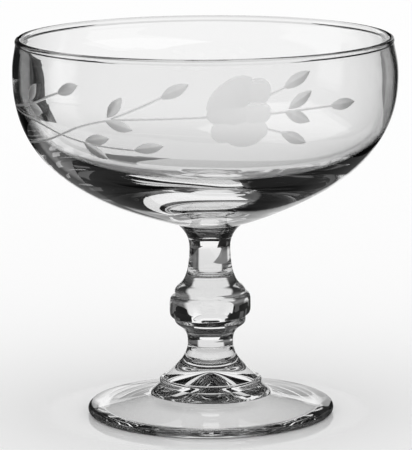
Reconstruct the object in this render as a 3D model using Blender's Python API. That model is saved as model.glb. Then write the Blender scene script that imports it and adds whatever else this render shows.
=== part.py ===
# Stemmed dessert glass in clear hot-joined glass: a blown bowl, a baluster stem with a knop,
# a ring laid round the knop, and a spread foot.
# Metres, +Z up. The origin is on the table, under the centre of the bowl.

import math

import bmesh
import bpy
from mathutils import Matrix, Vector
from mathutils.geometry import interpolate_bezier

# Joints
SEAT_GAP = 0.0003           # left at each hot joint, between the two pieces
STEM_SHIFT = 0.0012         # the stem and the foot stand this far along X from the bowl's axis
RING_LEAN_DEG = 2.6   # the laid-on ring is out of level by this much

# Foot
FOOT_RADIUS = 0.0325
FOOT_EDGE = 0.0026          # thickness at the rounded edge
FOOT_HUB = 0.0056           # height of the disc's top where it meets the boss
CONTACT_WIDTH = 0.0026      # flat ring that stands on the table
KICK_RADIUS = 0.0120        # base of the hollow cone pushed up under the boss
KICK_RISE = 0.0039          # underside of the disc at that cone's base
KICK_HEIGHT = 0.0084        # tip of the cone above the table
KICK_SLOPE_DEG = 12         # where the cone leaves the disc's underside
BOSS_HEIGHT = 0.0076        # edge of the boss's top above the table
BOSS_CROWN = 0.0026         # rise of the boss's domed top, which fits the bell's hollow base
BOSS_CROWN_DEG = 18         # slope of that dome at its edge
BOSS_SPREAD = 0.00215       # how much wider the boss is at its base
BOSS_FILLET = 0.0008        # reach of the fillet between the boss and the disc

# Stem: radii, and the rise of each stage from the base up
BELL_RADIUS = 0.01345       # lip of the bell that stands on the foot
BELL_LIP_RISE = 0.00165
BELL_LIP_STEP = 0.00105     # how far the lip stands out from the cone
BELL_LIP_ROUND = 0.0005     # reach of the rounding on the lip's upper edge
BELL_CONE_SPREAD = 0.0041   # radius lost up the straight cone
BELL_CONE_RISE = 0.0041
BELL_NECK_RISE = 0.00505    # top of the cone to the waist
WAIST_RADIUS = 0.0060       # lower neck
WAIST_RISE = 0.0041         # waist to the turn under the knop
KNOP_RADIUS = 0.00936       # core of the knop, under the ring
KNOP_LENGTH = 0.00785
KNOP_UNDER_INSET = 0.0020   # the turn under the knop, in from the core
KNOP_UNDER_RISE = 0.00205
KNOP_SHOULDER_INSET = 0.00176   # the turn above the knop, in from the core
KNOP_SHOULDER_RISE = 0.0023
KNOP_SLOPE_DEG = 45   # of the outline at those two turns
NECK_RADIUS = 0.00542       # upper neck
NECK_RISE = 0.0096          # turn above the knop to the narrowest part of the neck
FLARE_RADIUS = 0.0087       # top of the stem, and the pad under the bowl
FLARE_RISE = 0.0059
FLARE_SLOPE_DEG = 40

# Ring
RING_THICKNESS = 0.00104
RING_WIDTH = 0.0062
RING_ROUND = 0.0014         # part of the width, at each edge, that curves in to the knop

# Bowl, with heights above its own base
BOWL_HEIGHT = 0.0492
BOWL_RADIUS = 0.05035       # widest part, outside
BELLY_DROP = 0.0098         # widest part below the top of the rim
BOWL_SPREAD_DEG = 16.7    # rise of the outside where it leaves the stem
RIM_RADIUS = 0.04945        # outside of the fire-polished bead
RIM_LEAN_DEG = 9  # how far the wall under the bead leans in
BEAD_RADIUS = 0.00095
BEAD_PROUD = 0.00007        # how far the bead stands out from the wall outside
BEAD_WRAP_DEG = 35    # how far below its middle the bead still shows
RIM_WALL = 0.00145
BELLY_WALL = 0.0016
BOTTOM_WALL = 0.0095        # heavy base, which thins out up the side
PAD_REACH = 0.027           # inside this radius the underside moves across to meet the stem

# Handles at the two ends of each curve, as shares of the distance between them
EASE_RATIO = {
    "underside": (0.3, 0.3),
    "kick": (0.25, 0.15),
    "crown": (0.4, 0.3),
    "bell": (0.3, 0.3),
    "waist": (0.37, 0.47),
    "knop_under": (0.28, 0.23),
    "knop_shoulder": (0.19, 0.34),
    "neck": (0.43, 0.22),
    "flare": (0.37, 0.37),
    "ring": (0.4, 0.5),
    "bowl": (0.504, 0.349),
    "rim": (0.085, 0.36),
    "inner_rim": (0.36, 0.085),
    "inner_bowl": (0.266, 0.738),
}
CORNER_RATIO = 0.55          # a rounded corner's handles, as a share of its reach

# Facets
WIDE_SIDES = 64             # round the bowl and the foot
NARROW_SIDES = 40           # round the stem and the ring
LONG_CURVE = 15             # points along a curve
MIDDLE_CURVE = 7
SHORT_CURVE = 4
BEAD_POINTS = 9

# Directions along an outline, in degrees from +X towards +Z
OUTWARD_DEG = 0
UP_DEG = 90
DOWN_DEG = -90
INWARD_DEG = 180


# One step along an outline in a direction given in degrees.
def step(degrees, reach):
    turned = math.radians(degrees)
    return Vector((math.cos(turned), math.sin(turned))) * reach


# Points of one smooth curve between two places, leaving and arriving in the given directions.
def flow(start, leaving, end, arriving, ease, count):
    start, end = Vector(start), Vector(end)
    reach = (end - start).length
    leave = start + step(leaving, reach * ease[0])
    arrive = end - step(arriving, reach * ease[1])
    return [tuple(point) for point in interpolate_bezier(start, leave, arrive, end, count)]


# Points of a rounded corner that starts and ends the given reach away from the corner.
def soften(before, corner, after, reach, count):
    corner = Vector(corner)
    start = corner + (Vector(before) - corner).normalized() * reach
    end = corner + (Vector(after) - corner).normalized() * reach
    leave = start.lerp(corner, CORNER_RATIO)
    arrive = end.lerp(corner, CORNER_RATIO)
    return [tuple(point) for point in interpolate_bezier(start, leave, arrive, end, count)]


# Points of a circular arc between two directions, ends included.
def arc(centre, radius, first, last, count):
    turns = [first + (last - first) * index / (count - 1) for index in range(count)]
    return [tuple(Vector(centre) + step(degrees, radius)) for degrees in turns]


# A turned body from (radius, height) points, as a bmesh.
def turn(outline, sides, closed=False):
    bm = bmesh.new()
    verts = [bm.verts.new((radius, 0.0, height)) for radius, height in outline]
    pairs = list(zip(verts, verts[1:]))
    if closed:
        pairs.append((verts[-1], verts[0]))
    edges = [bm.edges.new(pair) for pair in pairs]
    bmesh.ops.spin(bm, geom=verts + edges, cent=(0, 0, 0), axis=(0, 0, 1),
                   angle=math.tau, steps=sides, use_merge=True)
    bmesh.ops.remove_doubles(bm, verts=bm.verts, dist=1e-6)
    bmesh.ops.recalc_face_normals(bm, faces=bm.faces)
    return bm


# A Principled clear glass for one piece.
def clear_glass(name, roughness):
    material = bpy.data.materials.new(name)
    material.use_nodes = True
    shader = material.node_tree.nodes["Principled BSDF"]
    shader.inputs["Base Color"].default_value = (0.93, 0.95, 0.95, 1.0)
    shader.inputs["Metallic"].default_value = 0.0
    shader.inputs["Roughness"].default_value = roughness
    shader.inputs["IOR"].default_value = 1.52
    shader.inputs["Transmission Weight"].default_value = 1.0
    return material


# One named object from a bmesh, standing at a place on the glass.
def piece(name, bm, place, material, parent):
    mesh = bpy.data.meshes.new(name)
    bm.to_mesh(mesh)
    bm.free()
    mesh.shade_smooth()
    mesh.set_sharp_from_angle(angle=math.radians(40))
    mesh.materials.append(material)
    part = bpy.data.objects.new(name, mesh)
    part.location = place
    part.parent = parent
    bpy.context.scene.collection.objects.link(part)


# Domed seat between the boss and the bell, from its middle to its edge, at a height above the edge.
def crown(base):
    middle = (0.0, base + BOSS_CROWN)
    return flow(middle, OUTWARD_DEG, (BELL_RADIUS, base), -BOSS_CROWN_DEG, EASE_RATIO["crown"], MIDDLE_CURVE)


# Disc with a rounded edge and a boss, on a flat ring, with a hollow cone pushed up in its underside.
def foot_body():
    boss_edge = (BELL_RADIUS, BOSS_HEIGHT)
    boss_foot = (boss_edge[0] + BOSS_SPREAD, FOOT_HUB)
    edge_radius = FOOT_EDGE / 2
    edge_centre = (FOOT_RADIUS - edge_radius, edge_radius)
    fall = math.degrees(math.atan2(FOOT_HUB - FOOT_EDGE, edge_centre[0] - boss_foot[0]))
    edge = arc(edge_centre, edge_radius, UP_DEG - fall, DOWN_DEG, BEAD_POINTS)
    hollow_edge = (edge_centre[0] - CONTACT_WIDTH, 0.0)
    kick_edge = (KICK_RADIUS, KICK_RISE)
    kick_tip = (0.0, KICK_HEIGHT)
    inward = INWARD_DEG - fall
    kick_turn = INWARD_DEG - KICK_SLOPE_DEG
    outline = crown(BOSS_HEIGHT)
    outline += soften(boss_edge, boss_foot, edge[0], BOSS_FILLET, SHORT_CURVE)
    outline += edge
    outline += flow(hollow_edge, inward, kick_edge, inward, EASE_RATIO["underside"], MIDDLE_CURVE)
    outline += flow(kick_edge, kick_turn, kick_tip, INWARD_DEG, EASE_RATIO["kick"], MIDDLE_CURVE)[1:]
    return turn(outline, WIDE_SIDES)


# Places along the stem's outline, worked out stage by stage from its base.
def stem_stages():
    cone_end = (BELL_RADIUS - BELL_LIP_STEP, BELL_LIP_RISE)
    cone_top = (cone_end[0] - BELL_CONE_SPREAD, cone_end[1] + BELL_CONE_RISE)
    waist = (WAIST_RADIUS, cone_top[1] + BELL_NECK_RISE)
    under = (KNOP_RADIUS - KNOP_UNDER_INSET, waist[1] + WAIST_RISE)
    core_base = (KNOP_RADIUS, under[1] + KNOP_UNDER_RISE)
    core_top = (KNOP_RADIUS, core_base[1] + KNOP_LENGTH)
    shoulder = (KNOP_RADIUS - KNOP_SHOULDER_INSET, core_top[1] + KNOP_SHOULDER_RISE)
    neck = (NECK_RADIUS, shoulder[1] + NECK_RISE)
    top = (FLARE_RADIUS, neck[1] + FLARE_RISE)
    return cone_end, cone_top, waist, under, core_base, core_top, shoulder, neck, top


# Solid baluster, with a hollow base that fits over the boss.
def stem_body():
    cone_end, cone_top, waist, under, core_base, core_top, shoulder, neck, top = stem_stages()
    cone = math.degrees(math.atan2(cone_end[1] - cone_top[1], cone_end[0] - cone_top[0]))
    lip_top = (BELL_RADIUS, BELL_LIP_RISE)
    lip_base = (BELL_RADIUS, 0.0)
    under_turn = INWARD_DEG + KNOP_SLOPE_DEG
    outline = [(0.0, top[1])]
    outline += flow(top, INWARD_DEG + FLARE_SLOPE_DEG, neck, DOWN_DEG, EASE_RATIO["flare"], MIDDLE_CURVE)
    outline += flow(neck, DOWN_DEG, shoulder, -KNOP_SLOPE_DEG, EASE_RATIO["neck"], MIDDLE_CURVE)[1:]
    above = -KNOP_SLOPE_DEG
    outline += flow(shoulder, above, core_top, DOWN_DEG, EASE_RATIO["knop_shoulder"], SHORT_CURVE)[1:]
    outline += flow(core_base, DOWN_DEG, under, under_turn, EASE_RATIO["knop_under"], SHORT_CURVE)
    outline += flow(under, under_turn, waist, DOWN_DEG, EASE_RATIO["waist"], MIDDLE_CURVE)[1:]
    outline += flow(waist, DOWN_DEG, cone_top, cone, EASE_RATIO["bell"], MIDDLE_CURVE)[1:]
    outline += [cone_end]
    outline += soften(cone_end, lip_top, lip_base, BELL_LIP_ROUND, SHORT_CURVE)
    outline += reversed(crown(0.0))
    return turn(outline, NARROW_SIDES)


# Barrel-edged band round the knop, out of level, with a bore that stays true to the knop.
def ring_body():
    bore = KNOP_RADIUS + SEAT_GAP
    half = RING_WIDTH / 2
    flank = (bore + RING_THICKNESS, half - RING_ROUND)
    outline = flow((bore, half), OUTWARD_DEG, flank, DOWN_DEG, EASE_RATIO["ring"], SHORT_CURVE)
    outline += [(radius, -height) for radius, height in reversed(outline)]
    bm = turn(outline, NARROW_SIDES, closed=True)
    lean = Matrix.Identity(4)
    lean[2][0] = math.tan(math.radians(RING_LEAN_DEG))
    bmesh.ops.transform(bm, matrix=lean, verts=bm.verts)
    return bm


# Blown shell with a heavy base, widest a little below its rim, with a bead on the rim. The flat pad
# for the stem is off the bowl's axis, and the underside round it moves across with it.
def bowl_body():
    pad_edge = (FLARE_RADIUS, 0.0)
    belly = (BOWL_RADIUS, BOWL_HEIGHT - BELLY_DROP)
    inner_belly = (belly[0] - BELLY_WALL, belly[1])
    bead = (RIM_RADIUS - BEAD_RADIUS, BOWL_HEIGHT - BEAD_RADIUS)
    wall_top = (RIM_RADIUS - BEAD_PROUD, BOWL_HEIGHT - 2 * BEAD_RADIUS)
    inner_top = (wall_top[0] - RIM_WALL, wall_top[1])
    inner_base = (0.0, BOTTOM_WALL)
    outline = [(0.0, 0.0)]
    outline += flow(pad_edge, BOWL_SPREAD_DEG, belly, UP_DEG, EASE_RATIO["bowl"], LONG_CURVE)
    outline += flow(belly, UP_DEG, wall_top, UP_DEG + RIM_LEAN_DEG, EASE_RATIO["rim"], SHORT_CURVE)[1:]
    outline += arc(bead, BEAD_RADIUS, -BEAD_WRAP_DEG, INWARD_DEG + BEAD_WRAP_DEG, BEAD_POINTS)
    inner_lean = DOWN_DEG + RIM_LEAN_DEG
    outline += flow(inner_top, inner_lean, inner_belly, DOWN_DEG, EASE_RATIO["inner_rim"], SHORT_CURVE)
    outline += flow(inner_belly, DOWN_DEG, inner_base, INWARD_DEG, EASE_RATIO["inner_bowl"], LONG_CURVE)[1:]
    bm = turn(outline, WIDE_SIDES)
    for vert in bm.verts:
        reach = math.hypot(vert.co.x, vert.co.y)
        share = min(1.0, max(0.0, (PAD_REACH - reach) / (PAD_REACH - FLARE_RADIUS)))
        if vert.co.z < BOTTOM_WALL:
            vert.co.x += STEM_SHIFT * share * share * (3.0 - 2.0 * share)
    return bm


for leftover in list(bpy.data.objects):
    bpy.data.objects.remove(leftover, do_unlink=True)

stages = stem_stages()
core_base_height, core_top_height, stem_length = stages[4][1], stages[5][1], stages[-1][1]
stem_base = BOSS_HEIGHT + SEAT_GAP
ring_middle = stem_base + (core_base_height + core_top_height) / 2
bowl_base = stem_base + stem_length + SEAT_GAP

glass = bpy.data.objects.new("dessert_glass", None)
bpy.context.scene.collection.objects.link(glass)

piece("foot", foot_body(), (STEM_SHIFT, 0, 0), clear_glass("foot_glass", 0.02), glass)
piece("stem", stem_body(), (STEM_SHIFT, 0, stem_base), clear_glass("stem_glass", 0.02), glass)
piece("knop_ring", ring_body(), (STEM_SHIFT, 0, ring_middle), clear_glass("ring_glass", 0.03), glass)
piece("bowl", bowl_body(), (0, 0, bowl_base), clear_glass("bowl_glass", 0.01), glass)

print("dessert glass: height", round(bowl_base + BOWL_HEIGHT, 4), "m")
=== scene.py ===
import math
import bmesh
import bpy
from mathutils import Euler, Matrix, Quaternion, Vector
from mathutils.geometry import interpolate_bezier


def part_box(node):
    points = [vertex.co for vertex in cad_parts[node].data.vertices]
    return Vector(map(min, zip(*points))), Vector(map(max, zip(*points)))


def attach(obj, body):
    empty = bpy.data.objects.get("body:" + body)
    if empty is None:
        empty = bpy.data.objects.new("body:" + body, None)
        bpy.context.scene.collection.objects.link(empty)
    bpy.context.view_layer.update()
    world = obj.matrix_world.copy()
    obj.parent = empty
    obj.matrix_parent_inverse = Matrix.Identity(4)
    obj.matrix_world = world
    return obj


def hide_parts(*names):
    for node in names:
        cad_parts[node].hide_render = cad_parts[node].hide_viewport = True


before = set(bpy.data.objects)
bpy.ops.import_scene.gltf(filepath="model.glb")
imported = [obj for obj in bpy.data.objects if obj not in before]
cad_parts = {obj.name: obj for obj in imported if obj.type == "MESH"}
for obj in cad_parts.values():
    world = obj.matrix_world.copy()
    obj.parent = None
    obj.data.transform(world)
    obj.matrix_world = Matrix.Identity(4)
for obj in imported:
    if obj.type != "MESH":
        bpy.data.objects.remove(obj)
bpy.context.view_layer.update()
mm = 0.001
bowlLow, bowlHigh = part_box("bowl")
stemLow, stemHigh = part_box("stem")
ringLow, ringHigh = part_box("knop_ring")
footLow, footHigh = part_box("foot")
stemAxis = (footLow.x + footHigh.x) / 2 / mm    # the stem stands a little to the right of the bowl
bowlSeat = (stemHigh.z + bowlLow.z) / 2 / mm    # hot joint of bowl and stem
bellSeat = stemLow.z / mm - 0.15                # hot joint of stem and foot, at its edge
print("frame loaded, nodes", sorted(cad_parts))


# Colours and nodes
def linear(hexColour):
    shares = [int(hexColour[i:i + 2], 16) / 255 for i in (1, 3, 5)]
    return [c / 12.92 if c <= 0.04045 else ((c + 0.055) / 1.055) ** 2.4 for c in shares] + [1.0]


def addNode(tree, kind, inputs=None, **settings):
    node = tree.nodes.new(kind)
    for name, value in settings.items():
        setattr(node, name, value)
    for name, value in (inputs or {}).items():
        if isinstance(value, bpy.types.NodeSocket):
            tree.links.new(value, node.inputs[name])
        else:
            node.inputs[name].default_value = value
    return node


def newMaterial(name, values):
    material = bpy.data.materials.new(name)
    material.use_nodes = True
    shader = material.node_tree.nodes["Principled BSDF"]
    for socket, value in values.items():
        shader.inputs[socket].default_value = value
    return material, material.node_tree, shader


# Outlines, in millimetres: radius and height
def heading(degrees):
    return Vector((math.cos(math.radians(degrees)), math.sin(math.radians(degrees))))


def flow(start, leaving, end, arriving, ease, spacing):
    start, end = Vector(start), Vector(end)
    reach = (end - start).length
    leave = start + heading(leaving) * reach * ease[0]
    arrive = end - heading(arriving) * reach * ease[1]
    count = max(4, int(reach / spacing) + 2)
    return [tuple(point) for point in interpolate_bezier(start, leave, arrive, end, count)]


def soften(before, corner, after, reach, count):
    corner = Vector(corner)
    start = corner + (Vector(before) - corner).normalized() * reach
    end = corner + (Vector(after) - corner).normalized() * reach
    curve = interpolate_bezier(start, start.lerp(corner, 0.55), end.lerp(corner, 0.55), end, count)
    return [tuple(point) for point in curve]


def arc(centre, radius, first, last, count):
    turns = [first + (last - first) * i / (count - 1) for i in range(count)]
    return [tuple(Vector(centre) + heading(turn) * radius) for turn in turns]


# Turned bodies
def turned(outline, steps, closed=False):
    bm = bmesh.new()
    verts = [bm.verts.new((0.0, -radius * mm, height * mm)) for radius, height in outline]
    pairs = list(zip(verts, verts[1:] + verts[:1])) if closed else list(zip(verts, verts[1:]))
    edges = [bm.edges.new(pair) for pair in pairs]
    bmesh.ops.spin(bm, geom=verts + edges, cent=(0, 0, 0), axis=(0, 0, 1), angle=math.tau, steps=steps,
                   use_merge=True)
    bmesh.ops.remove_doubles(bm, verts=bm.verts, dist=1e-6)
    bmesh.ops.recalc_face_normals(bm, faces=bm.faces)
    return bm


def finished(name, bm, materials, node):
    mesh = bpy.data.meshes.new(name)
    bm.to_mesh(mesh)
    bm.free()
    mesh.shade_smooth()
    mesh.set_sharp_from_angle(angle=math.radians(38))
    for material in materials:
        mesh.materials.append(material)
    part = bpy.data.objects.new(name, mesh)
    bpy.context.scene.collection.objects.link(part)
    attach(part, "root")
    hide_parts(node)
    print(name, len(mesh.polygons), "faces")


# Soda-lime glass, fire-polished: clear, with sharp light and dark lines where it bends the light.
clearGlass = newMaterial("clearGlass", {
    "Base Color": linear("#fdfdfd"), "Roughness": 0.0, "IOR": 1.52, "Transmission Weight": 1.0})[0]

# Where two pieces are fused hot there is no surface left to see.
fusedSeam = newMaterial("fusedSeam", {
    "Base Color": linear("#ffffff"), "Roughness": 0.0, "IOR": 1.52, "Alpha": 0.0})[0]

# Ground matt by the wheel: blurs and greys what is behind it, with a grain along each cut.
frostedCut, tree, cutShader = newMaterial("frostedCut", {
    "Base Color": linear("#e6e6e6"), "IOR": 1.52, "Transmission Weight": 0.86})
frostShare = addNode(tree, "ShaderNodeAttribute", attribute_name="frost").outputs["Fac"]
grain = addNode(tree, "ShaderNodeAttribute", attribute_name="grain").outputs["Vector"]
drawn = addNode(tree, "ShaderNodeVectorMath", {    # noise cells per millimetre along and across the cut
    0: grain, 1: (0.35, 3.2, 1.0)}, operation="MULTIPLY").outputs[0]
streaks = addNode(tree, "ShaderNodeTexNoise", {"Vector": drawn, "Scale": 1.0, "Detail": 2.0}).outputs[0]
uneven = addNode(tree, "ShaderNodeMapRange", {
    "Value": streaks, "From Min": 0.3, "From Max": 0.7, "To Min": 0.42, "To Max": 0.72}).outputs[0]
matt = addNode(tree, "ShaderNodeMath", {0: frostShare, 1: uneven}, operation="MULTIPLY").outputs[0]
tree.links.new(matt, cutShader.inputs["Roughness"])

# Bowl
bowlSize = {"pad": 8.7, "spread": 16.7, "bellyDrop": 9.8, "rimRadius": 49.45, "rimLean": 9.0,
            "bead": 0.95, "beadProud": 0.07, "beadWrap": 35.0, "rimWall": 1.45, "bellyWall": 1.45,
            "bottomWall": 9.65, "innerTilt": 0.023, "slide": 27.0, "tiltFade": 14.0,
            "sway": 0.32, "innerSway": 0.25, "swayStart": 64, "swayRise": 20, "swayEnd": 88,
            "swayFall": 12, "swayKept": 0.45, "swayTop": 97, "swayGap": 0.6,
            "columns": 256, "spacing": 1.0, "wallSpacing": 0.2}
top = bowlHigh.z / mm
belly = (bowlHigh.x / mm, top - bowlSize["bellyDrop"])
padEdge = (bowlSize["pad"], bowlSeat)
beadMiddle = (bowlSize["rimRadius"] - bowlSize["bead"], top - bowlSize["bead"])
wallTop = (bowlSize["rimRadius"] - bowlSize["beadProud"], top - 2 * bowlSize["bead"])
innerTop = (wallTop[0] - bowlSize["rimWall"], wallTop[1])
innerBelly = (belly[0] - bowlSize["bellyWall"], belly[1])
innerBase = (0.0, bowlSeat + bowlSize["bottomWall"])
lean = bowlSize["rimLean"]
wrap = bowlSize["beadWrap"]
outline = [(0.0, bowlSeat)]
outline += flow(padEdge, bowlSize["spread"], belly, 90, (0.504, 0.349), bowlSize["spacing"])
outline += flow(belly, 90, wallTop, 90 + lean, (0.48, 0.36), bowlSize["spacing"])[1:]
outline += arc(beadMiddle, bowlSize["bead"], -wrap, 180 + wrap, 17)
outline += flow(innerTop, lean - 90, innerBelly, -90, (0.36, 0.48), bowlSize["spacing"])
outline += flow(innerBelly, -90, innerBase, 180, (0.266, 0.738), bowlSize["spacing"])[1:]
outerWall = flow(padEdge, bowlSize["spread"], belly, 90, (0.504, 0.349), bowlSize["wallSpacing"])


def eased(value):
    share = min(1.0, max(0.0, value))
    return share * share * (3 - 2 * share)


# Tells the inner skin of the bowl from the outer one.
def insideBowl(radius, height):
    for first, second in zip(outerWall, outerWall[1:]):
        if first[1] <= height <= second[1]:
            share = (height - first[1]) / (second[1] - first[1])
            return radius < first[0] + (second[0] - first[0]) * share - 0.5
    return False


bowlMesh = turned(outline, bowlSize["columns"])
for face in bowlMesh.faces:
    face.material_index = 1 if face.calc_center_median().z < (bowlSeat + 0.001) * mm else 0
for vert in bowlMesh.verts:
    height = vert.co.z / mm
    radius = math.hypot(vert.co.x, vert.co.y) / mm
    if insideBowl(radius, height):
        vert.co.z -= vert.co.x * bowlSize["innerTilt"] * eased((belly[1] - height) / bowlSize["tiltFade"])
    elif radius < bowlSize["slide"]:
        share = eased((bowlSize["slide"] - radius) / (bowlSize["slide"] - bowlSize["pad"]))
        vert.co.x += stemAxis * mm * share

# Engraving: bearings in degrees to the right of the front, and heights
cutSize = {"leafWidth": 2.9, "leafDepth": 0.32, "leafFrost": 1.0, "stalkWidth": 0.36, "stalkDepth": 0.08,
           "stalkFrost": 0.8, "petalDepth": 0.1, "petalFade": 0.22, "stalkStep": 2.5,
           "turn": -0.35, "edge": 0.06, "lowest": 71, "highest": 97.5, "roundFrom": 68, "roundTo": 97.9,
           "skinDepth": 0.5, "leafCurve": 1.4, "leafShade": 0.84,
           "rounds": ((1.0, 9.0), (0.5, 9.0), (0.3, 0.4))}
leaves = [((23, 92.5), (32, 96.2)), ((24.5, 87.3), (32, 91.3)), ((38.5, 87), (48.5, 87.3)),
          ((23.5, 86.5), (31.7, 83.6)), ((22.5, 81.4), (31.6, 78)), ((-29, 85), (-24, 90.3)),
          ((-29.7, 84), (-21.2, 82.1)), ((-12.5, 90.5), (-4.3, 94)), ((-21.6, 76.9), (-12.1, 78.3)),
          ((-38.3, 78.3), (-29.2, 79.6)), ((-39, 77.9), (-31.3, 73.9)), ((-47.3, 89.9), (-39, 92.5)),
          ((-62.8, 86.7), (-58.2, 91.2)), ((-62.8, 85.2), (-55.7, 84.2))]
stalks = [[(18.8, 91.1), (23, 92.5)], [(18.8, 86.3), (30, 86.8), (38.5, 87)], [(18.1, 82.5), (22.5, 81.4)],
          [(0.9, 85.9), (-20.5, 84.9), (-29.1, 84.2), (-38.9, 82.1), (-47, 79.5), (-57, 76.9), (-73, 74.4),
           (-86, 73.4)],
          [(-88, 83.4), (-73, 82.4), (-59.4, 81.4), (-47.7, 79.2), (-39.2, 78), (-33.4, 77.4),
           (-21.6, 76.9)],
          [(-27.6, 84.8), (-20, 87.5), (-12.5, 90.5)],
          [(-82, 83.1), (-63.2, 85.5), (-53.5, 88.1), (-47.3, 89.9)]]
flower = (10.1, 87.6)
petals = [((-2.0, 3.0), 7.0, 4.1, 36, 0.66), ((4.8, 4.5), 3.0, 3.3, 0, 0.56),    # place, size, tilt, frost
          ((-2.7, -1.3), 5.5, 3.0, 0, 0.62), ((4.1, -1.0), 3.75, 3.0, 0, 0.56),
          ((-3.9, -5.6), 3.3, 2.8, 0, 0.62), ((1.1, -6.3), 5.0, 3.3, 0, 0.7),
          ((4.8, -5.6), 2.4, 2.5, 0, 0.66)]
skin = outerWall + flow(belly, 90, wallTop, 90 + lean, (0.48, 0.36), bowlSize["wallSpacing"])[1:]


# Radius and lean of the bowl's outside at a height.
def skinAt(height):
    low, high = 0, len(skin) - 1
    while high - low > 1:
        half = (low + high) // 2
        low, high = (half, high) if skin[half][1] <= height else (low, half)
    run = (skin[high][0] - skin[low][0]) / (skin[high][1] - skin[low][1])
    return skin[low][0] + run * (height - skin[low][1]), run


def onSkin(bearing, height):
    radius, run = skinAt(height)
    turn = math.radians(bearing + cutSize["turn"])
    place = Vector((radius * math.sin(turn), -radius * math.cos(turn), height))
    return place, Vector((math.sin(turn), -math.cos(turn), -run)).normalized()


cuts = []
for base, tip in leaves:
    start, end = onSkin(*base)[0], onSkin(*tip)[0]
    facing = onSkin((base[0] + tip[0]) / 2, (base[1] + tip[1]) / 2)[1]
    along = (end - start).normalized()
    cuts.append({"kind": "leaf", "middle": (start + end) / 2, "along": along, "across": facing.cross(along),
                 "half": (end - start).length / 2, "width": cutSize["leafWidth"] / 2})
flowerMiddle, facing = onSkin(*flower)
rightward = Vector((0, 0, 1)).cross(facing).normalized()
upward = facing.cross(rightward)
for place, wide, high, tilt, petalFrost in petals:
    along = rightward * heading(tilt).x + upward * heading(tilt).y
    petalMiddle = flowerMiddle + rightward * place[0] + upward * place[1]
    cuts.append({"kind": "petal", "middle": petalMiddle, "along": along, "across": facing.cross(along),
                 "half": wide, "width": high, "frost": petalFrost})
for path in stalks:
    ends = [Vector(path[0]) * 2 - Vector(path[1])] + [Vector(point) for point in path]
    ends.append(ends[-1] * 2 - ends[-2])
    line = []
    for first, second, third, fourth in zip(ends, ends[1:], ends[2:], ends[3:]):
        count = max(2, int((third - second).length * 0.8 / cutSize["stalkStep"]) + 2)
        leave = second + (third - first) / 6
        arrive = third - (fourth - second) / 6
        line += interpolate_bezier(second, leave, arrive, third, count)[:-1]
    line = [onSkin(*point)[0] for point in line + [Vector(path[-1])]]
    for start, end in zip(line, line[1:]):
        cuts.append({"kind": "stalk", "middle": (start + end) / 2, "along": (end - start).normalized(),
                     "across": Vector((0, 0, 1)), "half": (end - start).length / 2,
                     "width": cutSize["stalkWidth"] / 2})


# How far a point is inside a cut, how deep the cut is there and how matt, with its place along the cut.
def reading(cut, point):
    offset = point - cut["middle"]
    along = offset.dot(cut["along"])
    across = offset.dot(cut["across"])
    half, width = cut["half"], cut["width"]
    if cut["kind"] == "leaf":
        room = 1 - (along / half) ** 2
        inside = width * room - abs(across) if room > 0 else -math.hypot(abs(along) - half, across)
        share = 1 - (abs(across) / (width * room)) ** cutSize["leafCurve"] if inside > 0 else 0.0
        frost = cutSize["leafFrost"] * (cutSize["leafShade"] if across > 0 else 1.0)
        return inside, cutSize["leafDepth"] * room * share, frost, along, across
    if cut["kind"] == "petal":
        share = math.hypot(along / half, across / width)
        depth = cutSize["petalDepth"] * max(0.0, 1 - share * share)
        frost = cut["frost"] * (1 - cutSize["petalFade"] * across / width)
        return (1 - share) * min(half, width), depth, frost, 0.0, 0.0
    reach = (offset - cut["along"] * max(-half, min(half, along))).length
    depth = cutSize["stalkDepth"] * max(0.0, 1 - (reach / width) ** 2)
    return width - reach, depth, cutSize["stalkFrost"], along, reach


def deepest(point, margin):
    best = (-9.0, 0.0, 0.0, 0.0, 0.0)
    for cut in cuts:
        room = max(cut["half"], cut["width"]) + margin
        if (point - cut["middle"]).length_squared < room * room:
            found = reading(cut, point)
            if found[0] > -margin and (found[1], found[0]) > (best[1], best[0]):
                best = found
    return best


# On the bowl's outside, between two heights.
def onOutside(point, lowest, highest):
    if not lowest < point.z < highest:
        return False
    return math.hypot(point.x, point.y) > skinAt(point.z)[0] - cutSize["skinDepth"]


for margin, within in cutSize["rounds"]:    # finer mesh near the cuts, then only along their edges
    near = set()
    for vert in bowlMesh.verts:
        point = vert.co / mm
        if onOutside(point, cutSize["lowest"], cutSize["highest"]):
            if -margin < deepest(point, margin)[0] < within:
                near.add(vert)
    rims = {edge for vert in near for face in vert.link_faces for edge in face.edges}
    bmesh.ops.subdivide_edges(bowlMesh, edges=list(rims), cuts=1, use_grid_fill=True)
    for vert in bowlMesh.verts:
        point = vert.co / mm
        if onOutside(point, cutSize["roundFrom"], cutSize["roundTo"]):
            share = skinAt(point.z)[0] / math.hypot(point.x, point.y)
            vert.co.x *= share
            vert.co.y *= share
frostLayer = bowlMesh.verts.layers.float.new("frost")
grainLayer = bowlMesh.verts.layers.float_vector.new("grain")
for vert in bowlMesh.verts:
    point = vert.co / mm
    radius = math.hypot(point.x, point.y)
    if onOutside(point, cutSize["lowest"], cutSize["highest"]):
        inside, depth, frost, along, across = deepest(point, cutSize["edge"])
        if inside > -cutSize["edge"]:
            run = skinAt(point.z)[1]
            facing = Vector((point.x / radius, point.y / radius, -run)).normalized()
            vert.co -= facing * max(0.0, depth) * mm
            vert[frostLayer] = frost
            vert[grainLayer] = Vector((along, across, 0.0))
for face in bowlMesh.faces:
    if any(vert[frostLayer] > 0 for vert in face.verts):
        face.material_index = 2
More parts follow.
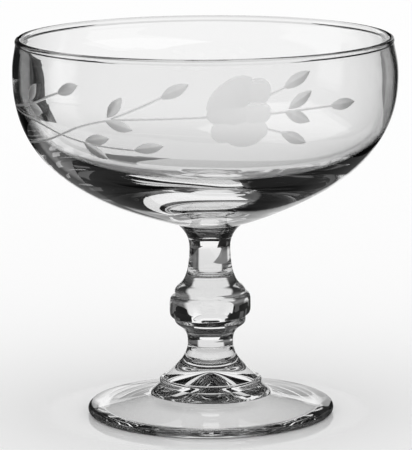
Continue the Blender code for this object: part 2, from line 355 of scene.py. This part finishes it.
for vert in bowlMesh.verts:
    height = vert.co.z / mm
    low = eased((height - bowlSize["swayStart"]) / bowlSize["swayRise"])
    high = eased((height - bowlSize["swayEnd"]) / bowlSize["swayFall"])
    sway = bowlSize["sway"] * low * (1 - (1 - bowlSize["swayKept"]) * high)
    radius = math.hypot(vert.co.x, vert.co.y) / mm
    if height < bowlSize["swayTop"] and radius < skinAt(height)[0] - bowlSize["swayGap"]:    # inner skin
        sway += bowlSize["innerSway"] * low * (1 - high)
    vert.co.x += sway * mm
print("engraving", len(cuts), "cuts")
bmesh.ops.recalc_face_normals(bowlMesh, faces=bowlMesh.faces)
finished("glassBowl", bowlMesh, [clearGlass, fusedSeam, frostedCut], "bowl")

# Stem
stemSize = {"bell": 13.45, "lipRise": 1.65, "lipStep": 1.05, "lipRound": 0.5, "seatRadius": 13.4,
            "crown": 2.6, "crownSlope": 18.0,
            "coneSpread": 4.1, "coneRise": 4.1, "bellNeck": 5.05, "waist": 6.0, "waistRise": 4.1,
            "knop": 9.36, "knopLength": 7.85, "underInset": 2.0, "underRise": 2.05,
            "shoulderInset": 1.76, "shoulderRise": 2.3, "neck": 5.42, "neckRise": 9.6,
            "columns": 160, "spacing": 0.3}
ringSize = {"width": 6.2, "thickness": 1.34, "round": 2.4, "lean": 2.6, "sunk": 0.08, "taper": 0.6,
            "sunkLeft": (10.0, 30.0), "sunkRight": (12.0, 36.0), "sideEnd": 88, "sideFade": 22}
coneEnd = (stemSize["bell"] - stemSize["lipStep"], bellSeat + stemSize["lipRise"])
coneTop = (coneEnd[0] - stemSize["coneSpread"], coneEnd[1] + stemSize["coneRise"])
waist = (stemSize["waist"], coneTop[1] + stemSize["bellNeck"])
under = (stemSize["knop"] - stemSize["underInset"], waist[1] + stemSize["waistRise"])
coreBase = (stemSize["knop"], under[1] + stemSize["underRise"])
coreTop = (stemSize["knop"], coreBase[1] + stemSize["knopLength"])
shoulder = (stemSize["knop"] - stemSize["shoulderInset"], coreTop[1] + stemSize["shoulderRise"])
neck = (stemSize["neck"], shoulder[1] + stemSize["neckRise"])
ringMiddle = (ringLow.z + ringHigh.z) / 2 / mm
ringTop = (stemSize["knop"], ringMiddle + ringSize["width"] / 2)
ringBase = (stemSize["knop"], ringMiddle - ringSize["width"] / 2)
cone = math.degrees(math.atan2(coneEnd[1] - coneTop[1], coneEnd[0] - coneTop[0]))
lipTop = (stemSize["bell"], coneEnd[1])
lipBase = (stemSize["bell"], bellSeat)
step = stemSize["spacing"]
crown = (0.0, bellSeat + stemSize["crown"])
seam = flow(crown, 0, (stemSize["bell"], bellSeat), -stemSize["crownSlope"], (0.4, 0.3), 0.6)
outline = [(0.0, bowlSeat)]
outline += flow(padEdge, 220, neck, -90, (0.37, 0.37), step)
outline += flow(neck, -90, shoulder, -45, (0.43, 0.22), step)[1:]
outline += flow(shoulder, -45, coreTop, -90, (0.19, 0.34), step)[1:]
outline += [ringTop, (stemSize["knop"], ringMiddle), ringBase]
outline += flow(coreBase, -90, under, 225, (0.28, 0.23), step)
outline += flow(under, 225, waist, -90, (0.37, 0.47), step)[1:]
outline += flow(waist, -90, coneTop, cone, (0.3, 0.3), step)[1:]
outline += [tuple(Vector(coneTop).lerp(Vector(coneEnd), i / 10)) for i in range(1, 11)]
outline += soften(coneEnd, lipTop, lipBase, stemSize["lipRound"], 7)
outline += [tuple(Vector(outline[-1]).lerp(Vector(lipBase), i / 4)) for i in range(1, 4)]
outline += seam[::-1]
slope = math.tan(math.radians(ringSize["lean"]))


# The ring's lean, fading out above and below it.
def leanAt(height):
    away = abs(height - ringMiddle) - ringSize["width"] / 2
    room = (stemSize["knopLength"] - ringSize["width"]) / 2
    return slope * max(0.0, 1.0 - max(0.0, away) / room)


stemMesh = turned(outline, stemSize["columns"])
for face in stemMesh.faces:
    centre = face.calc_center_median() / mm
    radius = math.hypot(centre.x, centre.y)
    onBase = face.normal.z < -0.5 and centre.z < crown[1] + 0.01 and radius < stemSize["seatRadius"]
    joined = abs(centre.z - bowlSeat) < 1e-3 or onBase
    onCore = ringBase[1] < centre.z < ringTop[1] and radius > stemSize["knop"] - 0.1
    face.material_index = 1 if joined or onCore else 0
for vert in stemMesh.verts:
    height = vert.co.z / mm
    vert.co.z += vert.co.x * leanAt(height)
    vert.co.x += stemAxis * mm
finished("balusterStem", stemMesh, [clearGlass, fusedSeam], "stem")

# Ring
flank = (stemSize["knop"] + ringSize["thickness"], ringTop[1] - ringSize["round"])
flankBase = (flank[0], ringBase[1] + ringSize["round"])
outline = flow(ringTop, 0, flank, -90, (0.4, 0.5), 0.15)
outline += [tuple(Vector(flank).lerp(Vector(flankBase), i / 8)) for i in range(1, 8)]
outline += flow(flankBase, -90, ringBase, 180, (0.5, 0.4), 0.15)
outline += [(stemSize["knop"], ringMiddle)]
ringMesh = turned(outline, stemSize["columns"], closed=True)
for face in ringMesh.faces:
    centre = face.calc_center_median() / mm
    face.material_index = 1 if math.hypot(centre.x, centre.y) < stemSize["knop"] + 0.001 else 0
for vert in ringMesh.verts:
    radius = math.hypot(vert.co.x, vert.co.y) / mm
    bearing = math.degrees(math.atan2(vert.co.x, abs(vert.co.y)))
    start, end = ringSize["sunkLeft"] if bearing < 0 else ringSize["sunkRight"]
    proud = ringSize["sunk"] + (1 - ringSize["sunk"]) * eased((abs(bearing) - start) / (end - start))
    if radius > stemSize["knop"] + 1e-4:
        low = min(1.0, max(0.0, (ringTop[1] - vert.co.z / mm) / ringSize["width"]))
        side = min(1.0, max(0.0, (ringSize["sideEnd"] - abs(bearing)) / ringSize["sideFade"]))
        kept = proud * (1 - ringSize["taper"] * low * side)
        wanted = stemSize["knop"] + (radius - stemSize["knop"]) * kept
        vert.co.x *= wanted / radius
        vert.co.y *= wanted / radius
    vert.co.z += vert.co.x * slope
    vert.co.x += stemAxis * mm
finished("knopRing", ringMesh, [clearGlass, fusedSeam], "knop_ring")

# Foot
footSize = {"edge": 2.6, "hub": 5.6, "hollow": 8.4, "kick": 12.0, "kickRise": 3.9, "kickSlope": 12.0,
            "kickEase": (0.25, 0.15), "contact": 2.6, "bossEdge": 13.45, "bossSpread": 2.15,
            "bossFillet": 0.8, "columns": 240}
footRadius = (footHigh.x - footLow.x) / 2 / mm
bossEdge = (footSize["bossEdge"], bellSeat)
bossFoot = (footSize["bossEdge"] + footSize["bossSpread"], footSize["hub"])
edgeMiddle = (footRadius - footSize["edge"] / 2, footSize["edge"] / 2)
fall = math.degrees(math.atan2(footSize["hub"] - footSize["edge"], edgeMiddle[0] - bossFoot[0]))
footEdge = arc(edgeMiddle, footSize["edge"] / 2, 90 - fall, -90, 25)
hollowEdge = (edgeMiddle[0] - footSize["contact"], 0.0)
outline = list(seam)
outline += soften(bossEdge, bossFoot, footEdge[0], footSize["bossFillet"], 13)
last = Vector(outline[-1])
outline += [tuple(last.lerp(Vector(footEdge[0]), i / 16)) for i in range(1, 16)]
outline += footEdge
kickEdge = (footSize["kick"], footSize["kickRise"])
outline += flow(hollowEdge, 180 - fall, kickEdge, 180 - fall, (0.3, 0.3), 0.8)
apex = (0.0, footSize["hollow"])
outline += flow(kickEdge, 180 - footSize["kickSlope"], apex, 180, footSize["kickEase"], 0.25)[1:]
footMesh = turned(outline, footSize["columns"])
for face in footMesh.faces:
    centre = face.calc_center_median() / mm
    onBoss = centre.z > bellSeat - 0.001 and math.hypot(centre.x, centre.y) < stemSize["seatRadius"]
    face.material_index = 1 if onBoss and face.normal.z > 0.5 else 0
for vert in footMesh.verts:
    vert.co.x += stemAxis * mm
finished("spreadFoot", footMesh, [clearGlass, fusedSeam], "foot")


# Stage: plain sheets, flat or upright, that are not part of the glass
def sheet(name, width, depth, middle, upright, shear=0.0, turn=0.0):
    bm = bmesh.new()
    bmesh.ops.create_grid(bm, x_segments=1, y_segments=1, size=0.5)
    bmesh.ops.scale(bm, vec=(width * mm, depth * mm, 1), verts=bm.verts)
    if upright:
        bmesh.ops.rotate(bm, verts=bm.verts, matrix=Matrix.Rotation(math.radians(90), 3, "X"))
    bmesh.ops.rotate(bm, verts=bm.verts, matrix=Matrix.Rotation(math.radians(turn), 3, "Z"))
    bmesh.ops.translate(bm, vec=Vector(middle) * mm, verts=bm.verts)
    for vert in bm.verts:
        vert.co.x += vert.co.z * shear
    mesh = bpy.data.meshes.new(name)
    bm.to_mesh(mesh)
    bm.free()
    flat = bpy.data.objects.new(name, mesh)
    bpy.context.scene.collection.objects.link(flat)
    return flat


def ramp(tree, value, low, high, atLow, atHigh):
    return addNode(tree, "ShaderNodeMapRange", {
        "Value": value, "From Min": low, "From Max": high, "To Min": atLow, "To Max": atHigh},
        interpolation_type="SMOOTHSTEP").outputs[0]


def blend(tree, share, first, second):
    return addNode(tree, "ShaderNodeMix", {"Factor": share, "A": first, "B": second}).outputs[0]


# Position on a sheet, the distance from the glass's axis and the bearing, straight behind being nought.
def bearings(tree):
    place = addNode(tree, "ShaderNodeTexCoord").outputs["Object"]
    split = addNode(tree, "ShaderNodeSeparateXYZ", {0: place})
    reach = addNode(tree, "ShaderNodeVectorMath", {0: place}, operation="LENGTH").outputs["Value"]
    turn = addNode(tree, "ShaderNodeMath", {
        0: split.outputs["X"], 1: split.outputs["Y"]}, operation="ARCTAN2")
    away = addNode(tree, "ShaderNodeMath", {0: turn.outputs[0]}, operation="ABSOLUTE").outputs[0]
    return split, reach, away


floor = sheet("whiteTable", 8000, 8000, (0, 0, -0.02), False)
floor.visible_transmission = False
floor.visible_glossy = False
tableTop, tree, tableShader = newMaterial("whiteLacquer", {    # sprayed white, with a sheen near the foot
    "Roughness": 0.05, "IOR": 1.45})
split, reach, away = bearings(tree)
shade = ramp(tree, split.outputs["Y"], -0.08, 0.6, 0.97, 0.99)
white = addNode(tree, "ShaderNodeCombineColor", {"Red": shade, "Green": shade, "Blue": shade}).outputs[0]
tree.links.new(white, tableShader.inputs["Base Color"])
tree.links.new(ramp(tree, reach, 0.034, 0.044, 0.2, 0.0), tableShader.inputs["Specular IOR Level"])
floor.data.materials.append(tableTop)


# A card that only the glass sees. The world is nearly dark to the glass, so the cards are its background.
def card(name, width, depth, middle, upright, level=1.0, shear=0.0, turn=0.0):
    panel = sheet(name, width, depth, middle, upright, shear, turn)
    panel.visible_camera = False
    panel.visible_diffuse = False
    panel.visible_shadow = False
    material = bpy.data.materials.new(name)
    material.use_nodes = True
    tree = material.node_tree
    tree.nodes.clear()
    glow = addNode(tree, "ShaderNodeEmission", {"Strength": level})
    addNode(tree, "ShaderNodeOutputMaterial", {"Surface": glow.outputs[0]})
    panel.data.materials.append(material)
    return tree, glow


# Cards for the main view
card("backCard", 380, 140, (0, 450, 70), True, 1.0)
tree, glow = card("leftFlag", 152, 300, (-143.5, 265, 150), True, shear=-0.15)
split, reach, away = bearings(tree)
slant = addNode(tree, "ShaderNodeMath", {0: split.outputs["Z"], 1: 0.15, 2: split.outputs["X"]},
                operation="MULTIPLY_ADD").outputs[0]
tree.links.new(ramp(tree, slant, -0.0825, -0.0675, 0.015, 0.12), glow.inputs["Strength"])
card("rightFlag", 130, 300, (157, 265, 150), True, 0.015)
card("leftPanel", 140, 120, (-295, 265, 60), True, 0.11)
tree, glow = card("rightPanel", 110, 120, (280, 265, 60), True)
split, reach, away = bearings(tree)
tree.links.new(ramp(tree, split.outputs["Z"], 0.028, 0.042, 0.01, 0.12), glow.inputs["Strength"])
card("leftStrip", 19.5, 50, (-60.5, 58, 85), True, 0.1, turn=135)
card("rightStrip", 21, 50, (60.5, 57.5, 85), True, 0.4, turn=45)
# The table as the glass sees it: a glowing sheet with painted light and shade round the foot.
tree, glow = card("tableCard", 206, 600, (0, 150, -0.03), False)
split, reach, away = bearings(tree)
# Painted reflection of the backdrop: a bright wedge straight behind the glass, brighter further off.
behind = ramp(tree, away, math.radians(21), math.radians(26), 1.0, 0.0)
sheen = ramp(tree, reach, 0.1, 0.45, 0.79, 1.0)
# Painted contact shadow: a dark ring round the foot's edge, behind it.
contact = ramp(tree, reach, 0.034, 0.04, 0.03, 1.0)
sheen = addNode(tree, "ShaderNodeMath", {0: sheen, 1: contact}, operation="MULTIPLY").outputs[0]
# Painted shadow of the foot to its sides, staying dim further off.
shadowBeside = ramp(tree, reach, 0.035, 0.085, 0.03, 0.12)
level = blend(tree, behind, shadowBeside, sheen)
# Painted shade under the foot, darkest under the middle of its hollow.
underFoot = ramp(tree, reach, 0.028, 0.031, 1.0, 0.0)
hollow = ramp(tree, reach, 0.010, 0.016, 0.62, 0.79)
tree.links.new(blend(tree, underFoot, level, hollow), glow.inputs["Strength"])

# Cards for the views from 45,25, then 225,15, then 90,3
tree, glow = card("sideTable", 150, 185, (-129, 129, -0.01), False, turn=45)
split, reach, away = bearings(tree)
side = addNode(tree, "ShaderNodeMath", {
    0: split.outputs["X"], 1: split.outputs["Y"]}, operation="ADD").outputs[0]
tree.links.new(addNode(tree, "ShaderNodeMath", {
    0: ramp(tree, reach, 0.16, 0.23, 0.95, 0.35), 1: ramp(tree, side, -0.03, 0.01, 1.0, 0.24)},
    operation="MULTIPLY").outputs[0], glow.inputs["Strength"])
card("frontTable", 300, 420, (235, -235, -0.01), False, 0.95, turn=45)
tree, glow = card("sidePanel", 220, 170, (-420, 0, 85), True, turn=90)
split, reach, away = bearings(tree)
offset = addNode(tree, "ShaderNodeMath", {0: split.outputs["Y"]}, operation="ABSOLUTE").outputs[0]
tree.links.new(ramp(tree, offset, 0.05, 0.11, 0.95, 0.05), glow.inputs["Strength"])
card("rimCard", 66, 96, (0, 120, 152), True, 0.8)    # main view: light lines in the rim
card("leftTable", 300, 130, (-250, 0, -0.01), False, 0.6)

# World: white to the camera and on matt surfaces, nearly dark to the glass
worldLight = {"plain": 1.0, "glass": 0.008}
world = bpy.data.worlds.new("studio")
world.use_nodes = True
bpy.context.scene.world = world
tree = world.node_tree
tree.nodes.clear()
path = addNode(tree, "ShaderNodeLightPath")
shiny = addNode(tree, "ShaderNodeMath", {
    0: path.outputs["Is Glossy Ray"], 1: path.outputs["Is Transmission Ray"]}, operation="MAXIMUM")
strength = blend(tree, shiny.outputs[0], worldLight["plain"], worldLight["glass"])
light = addNode(tree, "ShaderNodeBackground", {"Color": linear("#ffffff"), "Strength": strength})
addNode(tree, "ShaderNodeOutputWorld", {"Surface": light.outputs[0]})
print("stage lit")

# Camera
cameraSize = {"lens": 297.08, "sensor": 36.0, "place": (0.00023, -0.8807, 0.2055), "down": 10.009,
              "roll": -0.376}
cameraData = bpy.data.cameras.new("photoCamera")
cameraData.lens = cameraSize["lens"]
cameraData.sensor_width = cameraSize["sensor"]
cameraData.sensor_fit = "HORIZONTAL"
camera = bpy.data.objects.new("photoCamera", cameraData)
camera.location = cameraSize["place"]
camera.rotation_mode = "QUATERNION"
pitch = Euler((math.radians(90 - cameraSize["down"]), 0, 0)).to_quaternion()
roll = Quaternion((0, 0, 1), math.radians(cameraSize["roll"]))
camera.rotation_quaternion = pitch @ roll
bpy.context.scene.collection.objects.link(camera)
bpy.context.scene.camera = camera
print("camera set")

scene = bpy.context.scene
scene.view_settings.view_transform = "Standard"
scene.cycles.max_bounces = 32
scene.cycles.transmission_bounces = 32
scene.cycles.glossy_bounces = 16
scene.cycles.transparent_max_bounces = 16
